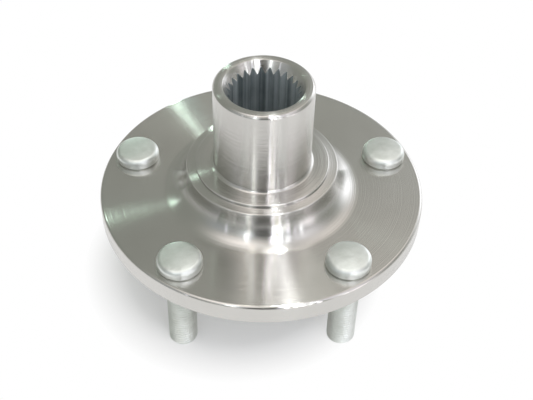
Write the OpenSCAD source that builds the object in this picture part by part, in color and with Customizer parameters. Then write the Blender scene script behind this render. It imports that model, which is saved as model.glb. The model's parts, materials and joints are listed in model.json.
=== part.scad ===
// Driven wheel hub of a front axle, with five pressed-in wheel studs.
// The axle runs along Z. Z = 0 is the face that the brake disc and wheel seat on,
// the bearing journal stands up from the flange, and the studs point down.

/* [Flange] */
// Diameter of the circle through the wheel studs
stud_circle_dia = 114.3; // [108:0.1:130]
// Distance from that circle out to the rim of the flange
rim_margin = 12; // [10.5:0.1:18]
// Thickness of the flange between its two turned faces
flange_t = 9.7; // [8:0.1:14]
// Chamfer round the upper edge of the flange
upper_edge_chamfer = 1.1; // [0.3:0.1:2]
// Chamfer round the wheel-side edge of the flange
lower_edge_chamfer = 1.2; // [0.3:0.1:2]
// Inner diameter of the raised ring that the brake disc seats on
disc_seat_inner_dia = 84; // [76:1:92]
// Depth of the turned relief inside that ring
disc_seat_relief = 0.6; // [0.2:0.1:1.5]

/* [Shoulder and bearing journal] */
// Diameter of the lower step of the shoulder
shoulder_dia = 64; // [60:0.5:70]
// Height of the lower step above the flange
shoulder_h = 12.9; // [10.5:0.1:18]
// Radius of the concave sweep from the flange up to the shoulder
sweep_r = 10; // [4:0.5:10]
// Diameter of the upper step, which the bearing's inner ring seats on
ring_seat_dia = 56.4; // [52:0.2:59]
// Height of the upper step above the lower one
ring_seat_h = 1.6; // [0.8:0.1:3]
// Edge break on both steps
step_chamfer = 0.3; // [0.1:0.1:0.5]
// Diameter of the journal that carries the bearing
journal_dia = 41; // [38:0.5:46]
// Length of the journal above its seat
journal_len = 39.3; // [30:0.1:50]
// Fillet at the foot of the journal
journal_fillet = 1.5; // [0.5:0.1:2.5]
// Lead-in chamfer on the free end of the journal
journal_chamfer = 1; // [0.3:0.1:2]

/* [Splined bore] */
// Number of spline teeth
spline_teeth = 26; // [20:1:34]
// Pitch diameter of the spline
spline_pitch_dia = 28.6; // [27:0.1:29]
// Depth of a tooth space outside the pitch circle
spline_root_depth = 0.7; // [0.4:0.05:0.8]
// Height of a tooth inside the pitch circle
spline_tooth_height = 0.75; // [0.4:0.05:0.8]
// Pressure angle of the involute flanks in degrees
spline_pressure_angle = 45; // [30:0.5:45]
// Turn of one tooth space from the X axis in degrees
spline_clock = 10; // [0:0.5:13]
// Diameter of the countersunk mouth at the journal's end
mouth_dia = 33.2; // [31:0.1:36]
// Slope of the countersink from the bore's axis in degrees
mouth_angle = 32; // [25:1:60]
// Chamfer on the wheel-side end of the spline
spline_exit_chamfer = 1.2; // [0.5:0.1:2]

/* [Wheel pilot] */
// Diameter of the collar that centres the disc and wheel
pilot_dia = 60; // [56:0.1:70]
// Height of the collar below the disc seat
pilot_h = 11; // [8:0.5:16]
// Lead-in on the collar, measured along the axle
pilot_lead_h = 2.5; // [1:0.1:4]
// Lead-in on the collar, measured across the axle
pilot_lead_w = 1.2; // [0.5:0.1:2]
// Diameter of the pocket that holds the axle nut, at its mouth
nut_pocket_mouth_dia = 49; // [46:0.5:52]
// Diameter of the flat seat of the axle nut at the pocket's floor
nut_seat_dia = 44; // [40:0.5:46]
// Height of that floor above the disc seat
nut_seat_z = 2; // [0:0.5:5]
// Width of the relief groove round the foot of the collar
root_groove_w = 2; // [1:0.1:3]
// Depth of the relief groove round the foot of the collar
root_groove_depth = 0.5; // [0.2:0.1:0.5]

/* [Wheel studs] */
// Number of studs
stud_count = 5; // [3:1:6]
// Outer diameter of the thread
thread_dia = 12; // [10:0.5:12]
// Reach of a stud below the disc seat
stud_reach = 35.8; // [20:0.1:60]
// Chamfer on the free end of the thread
thread_end_chamfer = 1.3; // [0.5:0.1:2]
// Diameter of the undercut between thread and serrations
stud_neck_dia = 9.8; // [8:0.1:9.8]
// Height of the undercut above the disc seat
stud_neck_h = 1.6; // [0.5:0.1:3]
// Diameter of a stud's head
head_dia = 18.6; // [16:0.1:20]
// Height of a head at its rim
head_h = 4.6; // [3:0.1:6]
// Rounding of the head's rim
head_round = 2.2; // [0.3:0.1:2.5]
// Rise of the domed top above the rim
head_crown = 0.4; // [0.1:0.05:0.8]
// Diameter of the forging dimple in the top of a head
dimple_dia = 3.2; // [1:0.1:6]
// Depth of the forging dimple
dimple_depth = 0.15; // [0.05:0.05:0.4]

/* [Serrations] */
// Number of serrations round a stud
serration_count = 36; // [24:1:48]
// Depth of a serration
serration_depth = 0.35; // [0.2:0.05:0.5]
// Bite of the serration tips into the wall of the stud's hole
serration_bite = 0.1; // [0.05:0.01:0.15]
// Diameter of the stud holes in the flange
stud_hole_dia = 12.7; // [12.6:0.1:13.5]
// Chamfer at the wheel-side mouth of a stud hole
stud_hole_chamfer = 0.6; // [0.2:0.1:0.9]

/* [Hidden] */
// Names of the studs, one node each
STUDS = [for (number = [1:stud_count]) str("wheel_stud_", number)];

$fn = 96;
// Overlap of cuts past a face, and of fillets into the body that carries them
cut_over = 1;

// Heights of the turned faces above the disc seat
shoulder_z = flange_t + shoulder_h;
ring_seat_z = shoulder_z + ring_seat_h;
journal_end_z = ring_seat_z + journal_len;

// Radii of the turned faces
stud_circle_r = stud_circle_dia / 2;
flange_r = stud_circle_r + rim_margin;
shoulder_r = shoulder_dia / 2;
ring_seat_r = ring_seat_dia / 2;
journal_r = journal_dia / 2;
pilot_r = pilot_dia / 2;
root_groove_r = pilot_r - root_groove_depth;
disc_seat_inner_r = disc_seat_inner_dia / 2;

// Radii of the spline. The base circle is where an involute starts.
spline_pitch_r = spline_pitch_dia / 2;
spline_base_r = spline_pitch_r * cos(spline_pressure_angle);
spline_tip_r = spline_pitch_r - spline_tooth_height;
spline_root_r = spline_pitch_r + spline_root_depth;
// Straight facets that follow each flank
flank_facets = 2;
// Height of the countersink, from the tooth tips up to the mouth
mouth_h = (mouth_dia / 2 - spline_tip_r) / tan(mouth_angle);

// Radii of the serrated collar under a stud's head
stud_hole_r = stud_hole_dia / 2;
serration_tip_r = stud_hole_r + serration_bite;
serration_root_r = serration_tip_r - serration_depth;

// The stud circle has one stud straight behind the journal, on the Y axis
first_stud_angle = 90;

steel = [0.66, 0.65, 0.62];
zinc = [0.70, 0.74, 0.71];

function on_circle(r, angle) = [r * cos(angle), r * sin(angle)];

function stud_angle(number) = first_stud_angle + number * 360 / stud_count;

// Involute function of a pressure angle, in degrees
function involute(angle) = tan(angle) * 180 / PI - angle;

// Half the angle that one tooth space takes up at radius r
function half_space(r) =
    90 / spline_teeth + involute(spline_pressure_angle) - involute(acos(spline_base_r / r));

// Radii at which a flank is cut into straight facets, from tooth tip to root
flank_radii = [
    for (step = [0:flank_facets])
        spline_tip_r + (spline_root_r - spline_tip_r) * step / flank_facets
];

// Outline of the splined bore, one tooth space after another
spline_points = [
    for (tooth = [0:spline_teeth - 1], side = [-1, 1], step = [0:flank_facets])
        let (
            r = flank_radii[side < 0 ? step : flank_facets - step],
            middle = spline_clock + tooth * 360 / spline_teeth
        )
        on_circle(r, middle + side * half_space(r))
];

// Outline of a serrated collar, tips and roots in turn
serration_points = [
    for (half = [0:2 * serration_count - 1])
        on_circle(half % 2 == 0 ? serration_tip_r : serration_root_r, half * 180 / serration_count)
];

// Half section of a corner filled with a fillet, wall at x and floor at y
module corner_fillet(x, y, r) {
    difference() {
        translate([x - cut_over, y - cut_over]) square(r + cut_over);
        translate([x + r, y + r]) circle(r);
    }
}

// Half section of the forging after turning, solid where the bore is cut later
module turned_section() {
    polygon([
        [0, nut_seat_z],
        [nut_seat_dia / 2, nut_seat_z],
        [nut_pocket_mouth_dia / 2, -pilot_h],
        [pilot_r - pilot_lead_w, -pilot_h],
        [pilot_r, pilot_lead_h - pilot_h],
        [pilot_r, disc_seat_relief - root_groove_w],
        [root_groove_r, disc_seat_relief - root_groove_w],
        [root_groove_r, disc_seat_relief],
        [disc_seat_inner_r - disc_seat_relief, disc_seat_relief],
        [disc_seat_inner_r, 0],
        [flange_r - lower_edge_chamfer, 0],
        [flange_r, lower_edge_chamfer],
        [flange_r, flange_t - upper_edge_chamfer],
        [flange_r - upper_edge_chamfer, flange_t],
        [shoulder_r, flange_t],
        [shoulder_r, shoulder_z - step_chamfer],
        [shoulder_r - step_chamfer, shoulder_z],
        [ring_seat_r, shoulder_z],
        [ring_seat_r, ring_seat_z - step_chamfer],
        [ring_seat_r - step_chamfer, ring_seat_z],
        [journal_r, ring_seat_z],
        [journal_r, journal_end_z - journal_chamfer],
        [journal_r - journal_chamfer, journal_end_z],
        [0, journal_end_z]
    ]);
    corner_fillet(shoulder_r, flange_t, sweep_r);
    corner_fillet(journal_r, ring_seat_z, journal_fillet);
}

// Cutter for the broached bore with its countersunk mouth and its exit chamfer
module splined_bore() {
    exit_r = spline_root_r + spline_exit_chamfer;
    translate([0, 0, nut_seat_z - cut_over])
        linear_extrude(journal_end_z - nut_seat_z + 2 * cut_over) polygon(spline_points);
    translate([0, 0, journal_end_z - mouth_h])
        cylinder(
            h = mouth_h + cut_over,
            r1 = spline_tip_r,
            r2 = mouth_dia / 2 + cut_over * tan(mouth_angle)
        );
    translate([0, 0, nut_seat_z - cut_over])
        cylinder(h = exit_r + cut_over - spline_tip_r, r1 = exit_r + cut_over, r2 = spline_tip_r);
}

// Cutter for one stud hole with its chamfer on the wheel side
module stud_hole() {
    translate([0, 0, -cut_over]) cylinder(h = flange_t + 2 * cut_over, r = stud_hole_r);
    translate([0, 0, -cut_over])
        cylinder(
            h = stud_hole_chamfer + cut_over,
            r1 = stud_hole_r + stud_hole_chamfer + cut_over,
            r2 = stud_hole_r
        );
}

// Puts what follows at the place of one stud
module at_stud(number) {
    rotate(stud_angle(number)) translate([stud_circle_r, 0, 0]) children();
}

// Flange, shoulder, journal and pilot in one forging
module hub_body() {
    color(steel) difference() {
        rotate_extrude() turned_section();
        splined_bore();
        for (number = [1:stud_count]) at_stud(number) stud_hole();
    }
}

// Half section of a stud's head, rounded at the rim and slightly domed
module head_section() {
    head_r = head_dia / 2;
    flat_r = head_r - head_round;
    rim_z = flange_t + head_h;
    crown_r = (flat_r * flat_r + head_crown * head_crown) / (2 * head_crown);
    dimple_half = dimple_dia / 2;
    dimple_r = (dimple_half * dimple_half + dimple_depth * dimple_depth) / (2 * dimple_depth);
    difference() {
        union() {
            translate([0, flange_t]) square([head_r, head_h - head_round]);
            translate([flat_r, rim_z - head_round]) circle(head_round);
            intersection() {
                translate([0, flange_t]) square([flat_r, head_h + head_crown]);
                translate([0, rim_z + head_crown - crown_r]) circle(crown_r);
            }
        }
        translate([0, rim_z + head_crown - dimple_depth + dimple_r]) circle(dimple_r);
    }
}

// Half section of a stud below its head: core, undercut and thread at its outer diameter
module shank_section() {
    thread_r = thread_dia / 2;
    neck_r = stud_neck_dia / 2;
    polygon([
        [0, -stud_reach],
        [thread_r - thread_end_chamfer, -stud_reach],
        [thread_r, thread_end_chamfer - stud_reach],
        [thread_r, 0],
        [neck_r, 0],
        [neck_r, flange_t + head_round],
        [0, flange_t + head_round]
    ]);
}

// Serrated collar that is pressed into the flange, tapered where it enters
module serrated_collar() {
    collar_h = flange_t - stud_neck_h;
    intersection() {
        translate([0, 0, stud_neck_h]) linear_extrude(collar_h) polygon(serration_points);
        translate([0, 0, stud_neck_h])
            cylinder(h = collar_h + cut_over, r1 = serration_root_r, r2 = serration_root_r + collar_h + cut_over);
    }
}

// One stud, head up and pressed home against the flange
module wheel_stud(number) {
    color(zinc) at_stud(number) {
        rotate_extrude() head_section();
        rotate_extrude() shank_section();
        serrated_collar();
    }
}

hub_body();
for (number = [1:stud_count]) {
    wheel_stud(number);
}
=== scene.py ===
import json
from math import acos, atan2, cos, hypot, pi, radians, sin, tan

import bmesh
import bpy
from mathutils import Matrix, Vector


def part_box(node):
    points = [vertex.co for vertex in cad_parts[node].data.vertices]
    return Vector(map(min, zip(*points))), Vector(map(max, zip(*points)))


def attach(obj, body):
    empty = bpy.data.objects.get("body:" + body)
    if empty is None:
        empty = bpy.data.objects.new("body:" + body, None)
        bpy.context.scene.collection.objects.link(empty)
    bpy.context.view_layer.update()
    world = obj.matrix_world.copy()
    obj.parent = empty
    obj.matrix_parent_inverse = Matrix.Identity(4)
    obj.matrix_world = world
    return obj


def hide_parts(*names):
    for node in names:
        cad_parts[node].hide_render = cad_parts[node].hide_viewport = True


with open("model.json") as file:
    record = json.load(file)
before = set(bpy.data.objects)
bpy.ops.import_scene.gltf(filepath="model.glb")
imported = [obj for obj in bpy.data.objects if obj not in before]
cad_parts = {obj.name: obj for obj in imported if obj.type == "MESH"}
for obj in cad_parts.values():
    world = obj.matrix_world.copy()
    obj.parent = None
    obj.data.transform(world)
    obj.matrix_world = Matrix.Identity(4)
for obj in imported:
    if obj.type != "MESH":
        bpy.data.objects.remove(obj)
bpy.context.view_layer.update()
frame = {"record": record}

# The hub body is one steel forging: wheel flange, shoulder, bearing journal and wheel pilot.
# It is turned all over on a lathe, so it is spun here from its half section, and the spline
# is broached through its bore. Five drilled holes take the wheel studs.
MM = 0.001
mounts = {mount["name"]: mount for mount in frame["record"]["mounts"]}
hub_low, hub_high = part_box("hub_body")
flange_r = hub_high.x
journal_end_z = hub_high.z
pilot_end_z = hub_low.z
journal_r = mounts["bearing_journal"]["dims"]["r_mm"] * MM
pilot_r = mounts["wheel_pilot"]["dims"]["r_mm"] * MM
ring_seat_z = mounts["bearing_seat"]["pos_m"][2]
nut_seat_z = mounts["axle_nut_seat"]["pos_m"][2]
flange_t = 9.7 * MM
shoulder_z = 22.6 * MM
shoulder_r = 32.0 * MM
ring_seat_r = 28.2 * MM
sweep_r = 10.0 * MM
journal_fillet = 1.5 * MM
journal_chamfer = 1.0 * MM
step_chamfer = 0.3 * MM
upper_edge_round = 1.4 * MM
lower_edge_chamfer = 1.2 * MM
disc_seat_inner_r = 42.0 * MM
disc_seat_relief = 0.6 * MM
root_groove_w = 2.0 * MM
root_groove_depth = 0.5 * MM
pilot_lead_h = 2.5 * MM
pilot_lead_w = 1.2 * MM
nut_pocket_mouth_r = 24.5 * MM
nut_seat_r = 22.0 * MM
mouth_r = 16.6 * MM
mouth_slope = tan(radians(32))
spline_teeth = 26
spline_root_r = 15.0 * MM
spline_tip_r = 13.55 * MM
spline_pitch_r = 14.3 * MM
spline_pressure_angle = radians(45)
spline_clock = radians(10)
spline_exit_r = spline_root_r + 1.2 * MM
steps_per_tooth = 16
hub_steps = spline_teeth * steps_per_tooth
# Turned edges are broken by about this much, which is what catches the light
edge_break = 0.2 * MM
corners_from = radians(12)
# A ring this far from a tangent line keeps the shading of the flat beside it flat
holding_gap = 0.25 * MM
# Points nearer than this are one point
same_point = 1e-7
halvings = 24


def arc(centre_r, centre_z, radius, start, end, steps):
    """Points of a round stretch of a half section, with its angles in degrees."""
    turn = [radians(start + (end - start) * step / steps) for step in range(steps + 1)]
    return [(centre_r + radius * cos(a), centre_z + radius * sin(a)) for a in turn]


def mouth_z(r):
    """Height of the countersunk mouth's cone at a radius."""
    return journal_end_z - (mouth_r - r) / mouth_slope


def exit_z(r):
    """Height of the 45 degree chamfer at the wheel end of the spline."""
    return nut_seat_z + spline_exit_r - r


def involute(angle):
    return tan(angle) - angle


def space_half_angle(r):
    """Half the angle of one tooth space at a radius, between its involute flanks."""
    base_r = spline_pitch_r * cos(spline_pressure_angle)
    half_pitch = pi / (2 * spline_teeth)
    return half_pitch + involute(spline_pressure_angle) - involute(acos(base_r / r))


def spline_wall_r(angle):
    """Radius of the toothed wall, found by halving the range between tooth tip and root."""
    pitch_angle = 2 * pi / spline_teeth
    off_middle = abs((angle - spline_clock + pitch_angle / 2) % pitch_angle - pitch_angle / 2)
    low, high = spline_tip_r, spline_root_r
    for _ in range(halvings):
        middle = (low + high) / 2
        if space_half_angle(middle) > off_middle:
            low = middle
        else:
            high = middle
    return low


def spin_section(points, steps, start=0.0, closed=False):
    """Spins a half section of (radius, height) points about the Z axis into a new bmesh."""
    mesh = bmesh.new()
    line = [mesh.verts.new((r * cos(start), r * sin(start), z)) for r, z in points]
    pairs = list(zip(line, line[1:]))
    if closed:
        pairs.append((line[-1], line[0]))
    edges = [mesh.edges.new(pair) for pair in pairs]
    bmesh.ops.spin(
        mesh, geom=line + edges, axis=(0, 0, 1), cent=(0, 0, 0),
        angle=2 * pi, steps=steps, use_merge=True,
    )
    bmesh.ops.remove_doubles(mesh, verts=mesh.verts, dist=same_point)
    bmesh.ops.recalc_face_normals(mesh, faces=mesh.faces)
    return mesh


def as_object(mesh, name):
    """Turns a bmesh into an object of that name."""
    data = bpy.data.meshes.new(name)
    mesh.to_mesh(data)
    mesh.free()
    made = bpy.data.objects.new(name, data)
    bpy.context.scene.collection.objects.link(made)
    return made


def combine(piece, tool, operation):
    """Cuts, joins or trims a piece with a tool by a Boolean, and closes its small gaps."""
    step = piece.modifiers.new("combine", "BOOLEAN")
    step.operation = operation
    step.solver = "EXACT"
    step.object = tool
    depsgraph = bpy.context.evaluated_depsgraph_get()
    result = bpy.data.meshes.new_from_object(piece.evaluated_get(depsgraph))
    mesh = bmesh.new()
    mesh.from_mesh(result)
    bmesh.ops.remove_doubles(mesh, verts=mesh.verts, dist=same_point)
    bmesh.ops.recalc_face_normals(mesh, faces=mesh.faces)
    mesh.to_mesh(result)
    mesh.free()
    piece.modifiers.clear()
    old = piece.data
    piece.data = result
    result.name = piece.name
    bpy.data.meshes.remove(old)
    bpy.data.objects.remove(tool)


def shade_smooth(piece, sharper_than=24):
    """Smooth shading that breaks at every edge sharper than an angle in degrees."""
    mesh = bmesh.new()
    mesh.from_mesh(piece.data)
    for face in mesh.faces:
        face.smooth = True
    for edge in mesh.edges:
        edge.smooth = edge.is_manifold and edge.calc_face_angle() < radians(sharper_than)
    mesh.to_mesh(piece.data)
    mesh.free()


hub_section = [
    (spline_exit_r, nut_seat_z),
    (nut_seat_r, nut_seat_z),
    (nut_pocket_mouth_r, pilot_end_z),
    (pilot_r - pilot_lead_w, pilot_end_z),
    (pilot_r, pilot_end_z + pilot_lead_h),
    (pilot_r, disc_seat_relief - root_groove_w),
    (pilot_r - root_groove_depth, disc_seat_relief - root_groove_w),
    (pilot_r - root_groove_depth, disc_seat_relief),
    (disc_seat_inner_r - disc_seat_relief, disc_seat_relief),
    (disc_seat_inner_r, 0),
    (flange_r - lower_edge_chamfer, 0),
    (flange_r, lower_edge_chamfer),
    (flange_r, flange_t - upper_edge_round - holding_gap),
    *arc(flange_r - upper_edge_round, flange_t - upper_edge_round, upper_edge_round, 0, 90, 10),
    (flange_r - upper_edge_round - holding_gap, flange_t),
    (shoulder_r + sweep_r + holding_gap, flange_t),
    *arc(shoulder_r + sweep_r, flange_t + sweep_r, sweep_r, 270, 180, 24),
    (shoulder_r, flange_t + sweep_r + holding_gap),
    (shoulder_r, shoulder_z - step_chamfer),
    (shoulder_r - step_chamfer, shoulder_z),
    (ring_seat_r, shoulder_z),
    (ring_seat_r, ring_seat_z - step_chamfer),
    (ring_seat_r - step_chamfer, ring_seat_z),
    (journal_r + journal_fillet + holding_gap, ring_seat_z),
    *arc(journal_r + journal_fillet, ring_seat_z + journal_fillet, journal_fillet, 270, 180, 8),
    (journal_r, ring_seat_z + journal_fillet + holding_gap),
    (journal_r, journal_end_z - journal_chamfer),
    (journal_r - journal_chamfer, journal_end_z),
    (mouth_r, journal_end_z),
    (spline_root_r + edge_break, mouth_z(spline_root_r + edge_break)),
    (spline_tip_r, mouth_z(spline_tip_r)),
    (spline_tip_r, exit_z(spline_tip_r)),
    (spline_root_r + edge_break, exit_z(spline_root_r + edge_break)),
]
hub_mesh = spin_section(hub_section, hub_steps, start=spline_clock, closed=True)
bore_verts = {v for v in hub_mesh.verts if hypot(v.co.x, v.co.y) < spline_tip_r + edge_break}
bore_edges = {edge for vert in bore_verts for edge in vert.link_edges}
turned_edges = [
    edge for edge in hub_mesh.edges
    if edge not in bore_edges and edge.calc_face_angle() > corners_from
]
for face in hub_mesh.faces:
    face.material_index = int(all(vert in bore_verts for vert in face.verts))
for vert in bore_verts:
    angle = Vector((vert.co.x, vert.co.y)).angle_signed(Vector((1, 0)))
    r = spline_wall_r(angle)
    upper = vert.co.z > journal_end_z / 2
    vert.co = (r * cos(angle), r * sin(angle), mouth_z(r) if upper else exit_z(r))
bmesh.ops.bevel(
    hub_mesh, geom=turned_edges, offset=edge_break, offset_type="OFFSET", segments=2,
    profile=0.5, affect="EDGES", material=-1, clamp_overlap=True,
)
hub = as_object(hub_mesh, "hub_body_turned")

stud_circle_r = mounts["wheel_studs"]["dims"]["pcd_mm"] * MM / 2
stud_count = mounts["wheel_studs"]["dims"]["count"]
stud_angles = [pi / 2 + 2 * pi * number / stud_count for number in range(1, stud_count + 1)]
stud_hole_r = 6.35 * MM
stud_hole_chamfer = 0.6 * MM
# Drills and trimming shapes reach past the metal, because shared faces cut badly
clear_of_face = 1.0 * MM
drill_steps = 96


def at_stud(angle):
    """Places what stands on the axle at one stud of the circle."""
    return Matrix.Rotation(angle, 4, "Z") @ Matrix.Translation((stud_circle_r, 0, 0))


drill_section = [
    (0, -clear_of_face),
    (stud_hole_r + stud_hole_chamfer + clear_of_face, -clear_of_face),
    (stud_hole_r, stud_hole_chamfer),
    (stud_hole_r, flange_t + clear_of_face),
    (0, flange_t + clear_of_face),
]
for stud_angle in stud_angles:
    drill_mesh = spin_section(drill_section, drill_steps)
    drill_mesh.transform(at_stud(stud_angle))
    combine(hub, as_object(drill_mesh, "drill"), "DIFFERENCE")
shade_smooth(hub)


class Link:
    """An output socket of a material. Python's operators on it add Math nodes."""

    def __init__(self, socket):
        self.socket = socket

    def node(self, kind, settings, sockets, output=0):
        """Adds any node: its settings first, then the values or links of its sockets."""
        tree = self.socket.id_data
        made = tree.nodes.new(kind)
        for name, value in settings.items():
            setattr(made, name, value)
        for name, value in sockets.items():
            if isinstance(value, Link):
                tree.links.new(value.socket, made.inputs[name])
            else:
                made.inputs[name].default_value = value
        return Link(made.outputs[output]) if made.outputs else made

    def math(self, operation, first, second=0.0):
        return self.node("ShaderNodeMath", {"operation": operation}, {0: first, 1: second})

    def root(self):
        return self.math("SQRT", self)

    def __add__(self, other):
        return self.math("ADD", self, other)

    def __radd__(self, other):
        return self.math("ADD", other, self)

    def __sub__(self, other):
        return self.math("SUBTRACT", self, other)

    def __rsub__(self, other):
        return self.math("SUBTRACT", other, self)

    def __mul__(self, other):
        return self.math("MULTIPLY", self, other)

    def __rmul__(self, other):
        return self.math("MULTIPLY", other, self)


def between(place, low_colour, high_colour, factor):
    """A colour between two, by a factor from 0 to 1."""
    settings = {"data_type": "RGBA", "clamp_factor": True}
    sockets = {0: factor, 6: (*low_colour, 1), 7: (*high_colour, 1)}
    return place.node("ShaderNodeMix", settings, sockets, output=2)


def new_material(name):
    """An empty material and the link to its Object coordinates, from which patterns start."""
    material = bpy.data.materials.new(name)
    material.use_nodes = True
    material.node_tree.nodes.clear()
    coordinates = material.node_tree.nodes.new("ShaderNodeTexCoord")
    return material, Link(coordinates.outputs["Object"])


def metal_output(place, constants, varying):
    """Ends a material in one Principled shader: plain values set on it, the rest linked."""
    sockets = {**constants, **varying}
    surface = place.node("ShaderNodeBsdfPrincipled", {}, sockets)
    place.node("ShaderNodeOutputMaterial", {"target": "ALL"}, {"Surface": surface})


def noise(place, scale, detail, roughness=0.5):
    """One channel of a noise pattern, about 0.5 in its middle."""
    sockets = {"Vector": place, "Scale": scale, "Detail": detail, "Roughness": roughness}
    return place.node("ShaderNodeTexNoise", {}, sockets)


# How dense the turning marks and the broach's marks are, as a scale of noise over metres
ring_density = 3000.0
broach_mark_density = 2500.0
turning_depth = 0.03 * MM
broach_mark_depth = 0.01 * MM
# What lies below this height, the flange and its wheel side, is turned a little finer
finer_below = flange_t + 0.1 * MM


def turned_steel():
    """Steel as the lathe leaves it: fine rings round the axle and a thin film of oil."""
    material, place = new_material("lathe_finish")
    across, along, height = (
        place.node("ShaderNodeSeparateXYZ", {}, {"Vector": place}, output=axis) for axis in "XYZ"
    )
    radius = (across * across + along * along).root()
    rings_at = place.node("ShaderNodeCombineXYZ", {}, {"X": radius, "Y": height, "Z": 0.0})
    rings = noise(rings_at, ring_density, 0.0)
    finer = place.math("LESS_THAN", height, finer_below)
    depth = rings * (1.7 - finer * 0.2)
    blotches = noise(place, 55.0, 3.0)
    haze = noise(place, 260.0, 4.0)
    colour = between(place, (0.585, 0.572, 0.546), (0.660, 0.648, 0.622), blotches)
    roughness = 0.17 - 0.04 * finer + 0.04 * rings + 0.03 * haze
    normal = place.node(
        "ShaderNodeBump", {}, {"Strength": 1.0, "Distance": turning_depth, "Height": depth}
    )
    metal_output(
        place,
        {"Metallic": 1.0, "Anisotropic": 1.0, "Anisotropic Rotation": 0.25},
        {"Base Color": colour, "Roughness": roughness, "Normal": normal},
    )
    return material


def broached_steel():
    """The toothed bore: dark steel, lighter in streaks that run along the axle, with fine marks
    that run along the broach's stroke.
    """
    material, place = new_material("broached_bore")
    across, along = (
        place.node("ShaderNodeSeparateXYZ", {}, {"Vector": place}, output=axis) for axis in "XY"
    )
    marks_at = place.node("ShaderNodeCombineXYZ", {}, {"X": across, "Y": along, "Z": 0.0})
    marks = noise(marks_at, broach_mark_density, 2.0)
    stripes = noise(marks_at, 400.0, 2.0)
    film = noise(place, 120.0, 3.0)
    shade = stripes * 3.0 + film * 0.6 - 1.25
    colour = between(place, (0.17, 0.205, 0.215), (0.58, 0.63, 0.64), shade)
    normal = place.node(
        "ShaderNodeBump", {}, {"Strength": 0.4, "Distance": broach_mark_depth, "Height": marks}
    )
    metal_output(
        place,
        {"Metallic": 0.5},
        {"Base Color": colour, "Roughness": 0.42 + 0.1 * film, "Normal": normal},
    )
    return material


hub.data.materials.append(turned_steel())
hub.data.materials.append(broached_steel())
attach(hub, "root")
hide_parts("hub_body")

# The five wheel studs are cold-forged, thread-rolled and zinc plated, and are pressed into
# the flange from the bearing side until the head seats. The serrated collar bites into the
# hole, and below it the M12 x 1.5 thread runs on past the disc seat to a chamfered end.
thread_r = mounts["wheel_studs"]["dims"]["stud_r_mm"] * MM
stud_low, stud_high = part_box("wheel_stud_1")
stud_end_z = stud_low.z
head_r = (stud_high.x - stud_low.x) / 2
head_crown = 0.4 * MM
head_rim_z = stud_high.z - head_crown
head_round = 2.2 * MM
head_foot = 0.65 * MM
dimple_r = 1.6 * MM
dimple_depth = 0.06 * MM
neck_r = 4.9 * MM
neck_h = 1.6 * MM
collar_tip_r = 6.45 * MM
collar_root_r = 6.1 * MM
serrations = 36
# A serration's valley stands this far outside the neck, so that no faces of it collapse
serration_gap = 0.01 * MM
thread_pitch = 1.5 * MM
thread_depth = 0.85 * MM
thread_crest = thread_pitch / 8
thread_root = thread_pitch / 4
thread_chamfer = 1.3 * MM
thread_steps = 48
stud_steps = 72
# The head's part reaches this far into the threaded part, where the two are joined
sunk = 0.4 * MM
clear_of_thread = 0.5 * MM
# The turns of a helix meet within this much
pitch_join = 1e-6
# Every stud is pressed in as it comes, so the threads start at different sides, in radians
thread_start_step = 1.3
dent_depth = 0.12 * MM


def crown_z(r):
    """Height of the slightly domed top of a head, with the dimple that forging leaves."""
    flat_r = head_r - head_round
    dome = head_rim_z + head_crown * (1 - (r / flat_r) ** 2)
    dimple = dimple_depth * max(0.0, 1 - (r / dimple_r) ** 2)
    return dome - dimple


def stud_top():
    """Head, serrated collar and undercut of a stud, as one closed solid."""
    crown_rings = [0.0, 0.4, 0.8, 1.2, 1.5, 1.7, 2.2, 3.4, 4.6, 5.8, 6.8]
    section = [
        (0, -sunk),
        (neck_r, -sunk),
        (neck_r, neck_h),
        (collar_root_r, neck_h),
        (collar_tip_r, neck_h + collar_tip_r - collar_root_r),
        (collar_tip_r, flange_t),
        (head_r - head_foot, flange_t),
        (head_r, flange_t + head_foot),
        (head_r, head_rim_z - head_round - holding_gap),
        *arc(head_r - head_round, head_rim_z - head_round, head_round, 0, 90, 10),
        *[(ring * MM, crown_z(ring * MM)) for ring in reversed(crown_rings)],
    ]
    mesh = spin_section(section, 2 * serrations)
    for vert in mesh.verts:
        step = round(serrations * atan2(vert.co.y, vert.co.x) / pi)
        on_collar = abs(hypot(vert.co.x, vert.co.y) - collar_tip_r) < serration_gap
        if on_collar and vert.co.z < flange_t + serration_gap and step % 2:
            valley = (collar_root_r + serration_gap) / collar_tip_r
            vert.co.x *= valley
            vert.co.y *= valley
    bmesh.ops.recalc_face_normals(mesh, faces=mesh.faces)
    return as_object(mesh, "wheel_stud")


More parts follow.
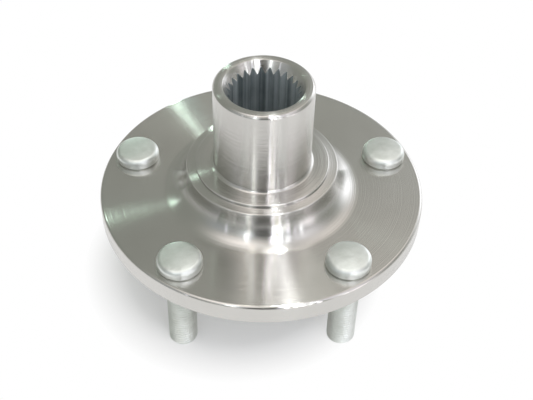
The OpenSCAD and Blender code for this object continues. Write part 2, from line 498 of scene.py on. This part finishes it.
def thread_solid():
    """The rolled thread: one pitch of its section climbs the helix, then the ends are trimmed."""
    flank = (thread_pitch - thread_crest - thread_root) / 2
    valley_r = thread_r - thread_depth
    one_pitch = [
        (valley_r, 0),
        (valley_r, thread_root),
        (thread_r, thread_root + flank),
        (thread_r, thread_root + flank + thread_crest),
    ]
    turns = int(-stud_end_z / thread_pitch) + 4
    bottom = stud_end_z - 2 * thread_pitch
    mesh = bmesh.new()
    line = [
        mesh.verts.new((r, 0, bottom + turn * thread_pitch + z))
        for turn in range(turns) for r, z in one_pitch
    ]
    edges = [mesh.edges.new(pair) for pair in zip(line, line[1:])]
    bmesh.ops.spin(
        mesh, geom=line + edges, axis=(0, 0, 1), cent=(0, 0, 0),
        dvec=(0, 0, thread_pitch / thread_steps), angle=2 * pi, steps=thread_steps,
    )
    bmesh.ops.remove_doubles(mesh, verts=mesh.verts, dist=pitch_join)
    # Faces in the thread's valleys take the second material, a darker zinc that is painted shade
    for face in mesh.faces:
        middle = face.calc_center_median()
        face.material_index = int(hypot(middle.x, middle.y) < valley_r + thread_depth / 4)
    for height, outward in ((stud_end_z - thread_pitch / 2, -1), (thread_pitch / 2, 1)):
        bmesh.ops.bisect_plane(
            mesh, geom=mesh.verts[:] + mesh.edges[:] + mesh.faces[:], dist=same_point,
            plane_co=(0, 0, height), plane_no=(0, 0, outward), clear_outer=True,
        )
    rims = [edge for edge in mesh.edges if edge.is_boundary]
    bmesh.ops.holes_fill(mesh, edges=rims)
    bmesh.ops.recalc_face_normals(mesh, faces=mesh.faces)
    return as_object(mesh, "thread")


stud = thread_solid()
envelope_section = [
    (0, stud_end_z),
    (thread_r - thread_chamfer, stud_end_z),
    (thread_r + clear_of_thread, stud_end_z + thread_chamfer + clear_of_thread),
    (thread_r + clear_of_thread, -thread_chamfer / 2 - clear_of_thread),
    (thread_r - thread_chamfer / 2, 0),
    (0, 0),
]
combine(stud, as_object(spin_section(envelope_section, stud_steps), "envelope"), "INTERSECT")
combine(stud, stud_top(), "UNION")
shade_smooth(stud)


def zinc_plating(name, dull_colour, bright_colour):
    """Dull pale zinc: a soft metal sheen, faint mottling and small dents from the forging."""
    material, place = new_material(name)
    mottle = noise(place, 420.0, 5.0, 0.6)
    clouds = noise(place, 150.0, 3.0)
    colour = between(place, dull_colour, bright_colour, clouds * 1.6 + mottle * 0.8 - 0.7)
    roughness = 0.3 + 0.2 * mottle
    normal = place.node(
        "ShaderNodeBump", {}, {"Strength": 1.0, "Distance": dent_depth, "Height": mottle}
    )
    metal_output(
        place,
        {"Metallic": 1.0},
        {"Base Color": colour, "Roughness": roughness, "Normal": normal},
    )
    return material


zinc = zinc_plating("zinc_finish", (0.66, 0.685, 0.65), (0.84, 0.865, 0.84))
# A far darker zinc for the thread's valleys: painted shade in the roots of the thread
zinc_in_thread_roots = zinc_plating(
    "zinc_in_thread_roots", (0.24, 0.25, 0.25), (0.4, 0.42, 0.42)
)
for number, stud_angle in enumerate(stud_angles, start=1):
    data = stud.data.copy()
    data.transform(at_stud(stud_angle) @ Matrix.Rotation(thread_start_step * number, 4, "Z"))
    piece = bpy.data.objects.new(f"wheel_stud_{number}_threaded", data)
    bpy.context.scene.collection.objects.link(piece)
    data.materials.append(zinc)
    data.materials.append(zinc_in_thread_roots)
    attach(piece, "root")
    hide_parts(f"wheel_stud_{number}")
bpy.data.objects.remove(stud)

# The table is a plain white sheet under the stud ends. It carries the hub's soft shadow near
# the hub and runs out into the white of the background further away.
floor_half = 4.0
paper_colour = (0.93, 0.93, 0.93, 1)
# The sheet turns white over this distance from the middle of the shadow
shadow_middle = (-0.012, -0.003, 0.0)
shadow_start = 0.060
shadow_reach = 0.077
near_whitening = 0.2
floor_mesh = bmesh.new()
bmesh.ops.create_grid(floor_mesh, x_segments=8, y_segments=8, size=floor_half)
bmesh.ops.translate(floor_mesh, verts=floor_mesh.verts, vec=(0, 0, stud_end_z))
floor = as_object(floor_mesh, "table")


def shows_background(place):
    """1 for a ray that looks straight at the sheet or by way of metal or glass, otherwise 0."""
    rays = ("Is Camera Ray", "Is Glossy Ray", "Is Transmission Ray")
    camera_ray, glossy_ray, transmission_ray = (
        place.node("ShaderNodeLightPath", {}, {}, output=ray) for ray in rays
    )
    return place.math("MINIMUM", camera_ray + glossy_ray + transmission_ray, 1.0)


def white_sheet():
    """Matt white paper. The camera sees its shadows softened, and plain white further off."""
    material, place = new_material("white_sheet")
    distance = place.node(
        "ShaderNodeVectorMath", {"operation": "DISTANCE"}, {0: place, 1: shadow_middle}, output=1
    )
    whitening = place.node(
        "ShaderNodeMapRange", {},
        {
            "Value": distance, "From Min": shadow_start, "From Max": shadow_reach,
            "To Min": near_whitening, "To Max": 1.0,
        },
    )
    seen = shows_background(place)
    paper = place.node("ShaderNodeBsdfDiffuse", {}, {"Color": paper_colour})
    glow = place.node("ShaderNodeEmission", {}, {"Color": (1, 1, 1, 1), "Strength": 1.0})
    surface = place.node("ShaderNodeMixShader", {}, {0: whitening * seen, 1: paper, 2: glow})
    place.node("ShaderNodeOutputMaterial", {"target": "ALL"}, {"Surface": surface})
    return material


floor.data.materials.append(white_sheet())

# The camera stands where the photograph was taken from, looking down at the hub from the
# bearing side. Its place and lens come from the ellipses of the flange and the journal.
photo_width_px = 533
focal_px = 994.3
sensor_mm = 36.0
camera_back = 311.3 * MM
camera_up = 295.4 * MM + flange_t
camera_pitch = 44.425
camera_roll = 1.706
camera_yaw = 0.415
hub_turn = 2.16
lens = bpy.data.cameras.new("camera")
lens.sensor_width = sensor_mm
lens.lens = focal_px / photo_width_px * sensor_mm
camera = bpy.data.objects.new("camera", lens)
bpy.context.scene.collection.objects.link(camera)
camera_place = (
    Matrix.Rotation(radians(-hub_turn), 4, "Z")
    @ Matrix.Translation((0, -camera_back, camera_up))
    @ Matrix.Rotation(radians(-camera_yaw), 4, "Z")
    @ Matrix.Rotation(radians(90 - camera_pitch), 4, "X")
    @ Matrix.Rotation(radians(camera_roll), 4, "Z")
)
camera.matrix_world = camera_place
bpy.context.scene.camera = camera
bpy.context.scene.view_settings.view_transform = "Standard"

# The light is a dim room with a bright ceiling, pale walls to the right and in front, and a
# dark screen in front where the camera stands. Narrow lamps behind, to the left and in front
# draw out into rays over the turned flange and into upright lines on the journal.
world = bpy.data.worlds.new("studio")
bpy.context.scene.world = world
world.use_nodes = True
world.node_tree.nodes.clear()
direction = world.node_tree.nodes.new("ShaderNodeTexCoord")
direction = Link(direction.outputs["Generated"])
# Most levels and colours of the room and its lamps were fitted to the photograph, from
# renders with one light at a time
room_colour = (0.330, 0.346, 0.314)
# Where the dark screen fades out sideways, upwards and towards the hub, as parts of a direction
screen_sides = (0.10, 0.24)
screen_top = (0.60, 0.80)
screen_front = (-0.05, 0.0)
screen_darkness = 0.9
# Azimuth and elevation in degrees, sharpness, and light level in red, green and blue
soft_areas = [
    (-136, 73, 20, (1.67, 1.55, 1.54)),
    (45, 57, 20, (0.86, 0.77, 0.75)),
    (-106, 33, 50, (1.32, 1.43, 1.62)),
    (47, 14, 20, (2.22, 2.26, 2.44)),
    (-32, 2, 50, (2.74, 2.56, 2.78)),
    (-146, 26, 20, (0.11, 0.13, 0.19)),
    (-26, 50, 20, (0.95, 0.90, 1.01)),
]
lamp_distance = 1.5
# Radius on the flange at which its turning marks mirror the ray lamps to the camera
ray_r = 55.0 * MM
# Azimuth of the ray on the flange, tilts outwards of the marks that mirror the lamp's two
# ends, both in degrees, then width, brightness and colour
ray_lamps = [
    (-96.5, (8, 18), 0.030, 2.8, (1.00, 0.98, 0.88)),
    (-88.0, (8, 18), 0.030, 5.8, (1.00, 0.98, 0.95)),
    (-81.3, (8, 18), 0.020, 46.0, (0.97, 0.99, 1.00)),
    (-36.0, (-26, -16), 0.050, 1.2, (0.57, 1.00, 0.98)),
    (128.4, (-16, -6), 0.030, 1.2, (0.98, 1.00, 0.93)),
    (128.4, (6, 20), 0.030, 12.9, (0.78, 1.00, 0.88)),
    (-162.0, (6, 16), 0.050, 3.6, (0.72, 1.00, 0.83)),
    (-162.0, (16, 26), 0.050, 2.0, (0.83, 1.00, 0.92)),
]
# The front lamps stand round a point of the axle at this height
front_lamp_middle_z = 30.0 * MM
front_lamp_w = 0.050
# Azimuth and the elevations of the lamp's two ends in degrees, then brightness and colour
front_lamps = [
    (-136.0, (12, 34), 1.9, (0.85, 0.87, 1.00)),
    (-107.0, (12, 34), 2.4, (1.00, 0.96, 0.91)),
    (-76.0, (-6, 12), 12.1, (0.92, 0.92, 1.00)),
    (-71.0, (-6, 12), 9.7, (1.00, 0.96, 0.92)),
    (-71.0, (12, 34), 2.5, (0.97, 1.00, 0.84)),
    (-66.5, (-6, 12), 3.6, (0.94, 0.93, 1.00)),
    (-66.5, (12, 34), 8.8, (0.90, 0.92, 1.00)),
    (-62.0, (-6, 12), 6.1, (0.99, 1.00, 0.99)),
    (-57.0, (-6, 12), 4.3, (1.00, 0.95, 1.00)),
    (-57.0, (12, 34), 3.6, (0.81, 0.81, 1.00)),
    (-48.0, (12, 34), 2.2, (0.89, 0.86, 1.00)),
    (-40.0, (12, 34), 4.8, (0.89, 0.93, 1.00)),
    (-112.0, (34, 48), 6.3, (0.93, 1.00, 0.97)),
    (-112.0, (48, 62), 2.8, (0.79, 0.90, 1.00)),
    (-74.0, (34, 48), 13.5, (0.86, 0.88, 1.00)),
    (-74.0, (48, 62), 8.8, (0.88, 0.85, 1.00)),
    (-68.0, (48, 62), 4.0, (1.00, 0.92, 0.75)),
    (-62.0, (48, 62), 10.5, (0.84, 0.86, 1.00)),
    (-50.0, (48, 62), 7.2, (0.92, 0.95, 1.00)),
]


def room_direction(azimuth, elevation):
    """A direction of the room from its two angles in degrees."""
    turn, climb = radians(azimuth), radians(elevation)
    return Vector((cos(climb) * cos(turn), cos(climb) * sin(turn), sin(climb)))


def soft_area(azimuth, elevation, sharpness):
    """Fades from 1 in one direction of the room, the faster the sharper it is."""
    middle = room_direction(azimuth, elevation)
    nearness = direction.node(
        "ShaderNodeVectorMath", {"operation": "DOT_PRODUCT"}, {0: direction, 1: middle}, output=1
    )
    return direction.math("EXPONENT", (nearness - 1.0) * sharpness)


def fade(value, start, end):
    """1 up to a start and 0 from an end, and smooth between them."""
    return direction.node(
        "ShaderNodeMapRange", {"interpolation_type": "SMOOTHSTEP"},
        {"Value": value, "From Min": start, "From Max": end, "To Min": 1.0, "To Max": 0.0},
    )


sideways, depth, climb = (
    direction.node("ShaderNodeSeparateXYZ", {}, {"Vector": direction}, output=axis)
    for axis in "XYZ"
)
screen = fade(direction.math("ABSOLUTE", sideways), *screen_sides) * fade(climb, *screen_top)
open_room = 1.0 - screen_darkness * screen * fade(depth, *screen_front)
levels = list(room_colour)
for azimuth, elevation, sharpness, colour in soft_areas:
    area = soft_area(azimuth, elevation, sharpness)
    levels = [level + area * strength for level, strength in zip(levels, colour)]
tint = direction.node(
    "ShaderNodeCombineColor", {},
    dict(zip(("Red", "Green", "Blue"), (level * open_room for level in levels))),
)
sky = direction.node("ShaderNodeBackground", {}, {"Color": tint, "Strength": 1.0})
direction.node("ShaderNodeOutputWorld", {"target": "ALL"}, {"Surface": sky})


def ray_lamp_end(azimuth, tilt):
    """The place that the flange's turning marks mirror to the camera where they have that tilt."""
    outward = room_direction(azimuth, 0)
    mirror = outward * ray_r + Vector((0, 0, flange_t))
    sight = (camera_place.translation - mirror).normalized()
    normal = outward * sin(radians(tilt)) + Vector((0, 0, cos(radians(tilt))))
    return mirror + (2 * normal.dot(sight) * normal - sight) * lamp_distance


def front_lamp_end(azimuth, elevation):
    """The place of one end of a front lamp."""
    return room_direction(azimuth, elevation) * lamp_distance + Vector((0, 0, front_lamp_middle_z))


def add_strip(name, start, end, width, brightness, colour):
    """A rectangular lamp that runs from one point to another and faces the hub."""
    middle = (start + end) / 2
    along = (end - start).normalized()
    back = (middle - along * middle.dot(along)).normalized()
    across = along.cross(back)
    lamp = bpy.data.lights.new(name, "AREA")
    lamp.shape = "RECTANGLE"
    lamp.size, lamp.size_y = width, (end - start).length
    lamp.energy = pi * lamp.size * lamp.size_y * brightness
    lamp.color = colour
    made = bpy.data.objects.new(name, lamp)
    bpy.context.scene.collection.objects.link(made)
    turn = Matrix((across, along, back)).transposed().to_4x4()
    made.matrix_world = Matrix.Translation(middle) @ turn


strips = [
    ([ray_lamp_end(azimuth, tilt) for tilt in tilts], width, brightness, colour)
    for azimuth, tilts, width, brightness, colour in ray_lamps
]
strips += [
    ([front_lamp_end(azimuth, end) for end in elevations], front_lamp_w, brightness, colour)
    for azimuth, elevations, brightness, colour in front_lamps
]
for number, ((start, end), width, brightness, colour) in enumerate(strips, start=1):
    add_strip(f"strip_lamp_{number}", start, end, width, brightness, colour)
